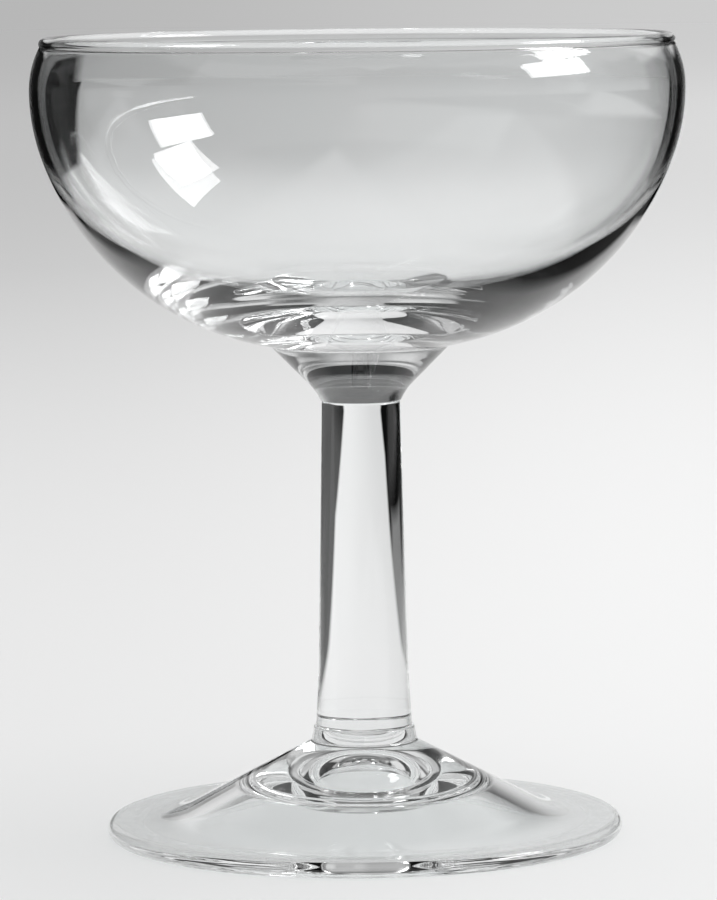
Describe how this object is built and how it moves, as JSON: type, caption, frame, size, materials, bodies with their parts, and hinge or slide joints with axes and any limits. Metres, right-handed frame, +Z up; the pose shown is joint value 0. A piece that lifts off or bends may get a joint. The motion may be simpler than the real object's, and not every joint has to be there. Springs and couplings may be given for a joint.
{
  "type": "sherbet glass",
  "caption": "Footed clear glass with a shallow round bowl, beaded rim, solid tapered stem and conical foot, for serving sherbet, other desserts or sparkling wine.",
  "frame": {"origin": "middle of the ring that the foot rests on, at table height", "axes": "+Z up along the turning axis, -Y towards the viewer"},
  "size_m": [0.09, 0.09, 0.1107],
  "materials": {
    "clear_glass": "fire-polished"
  },
  "bodies": {
    "root": {"bowl": "clear_glass", "stem": "clear_glass", "foot": "clear_glass"}
  },
  "joints": []
}
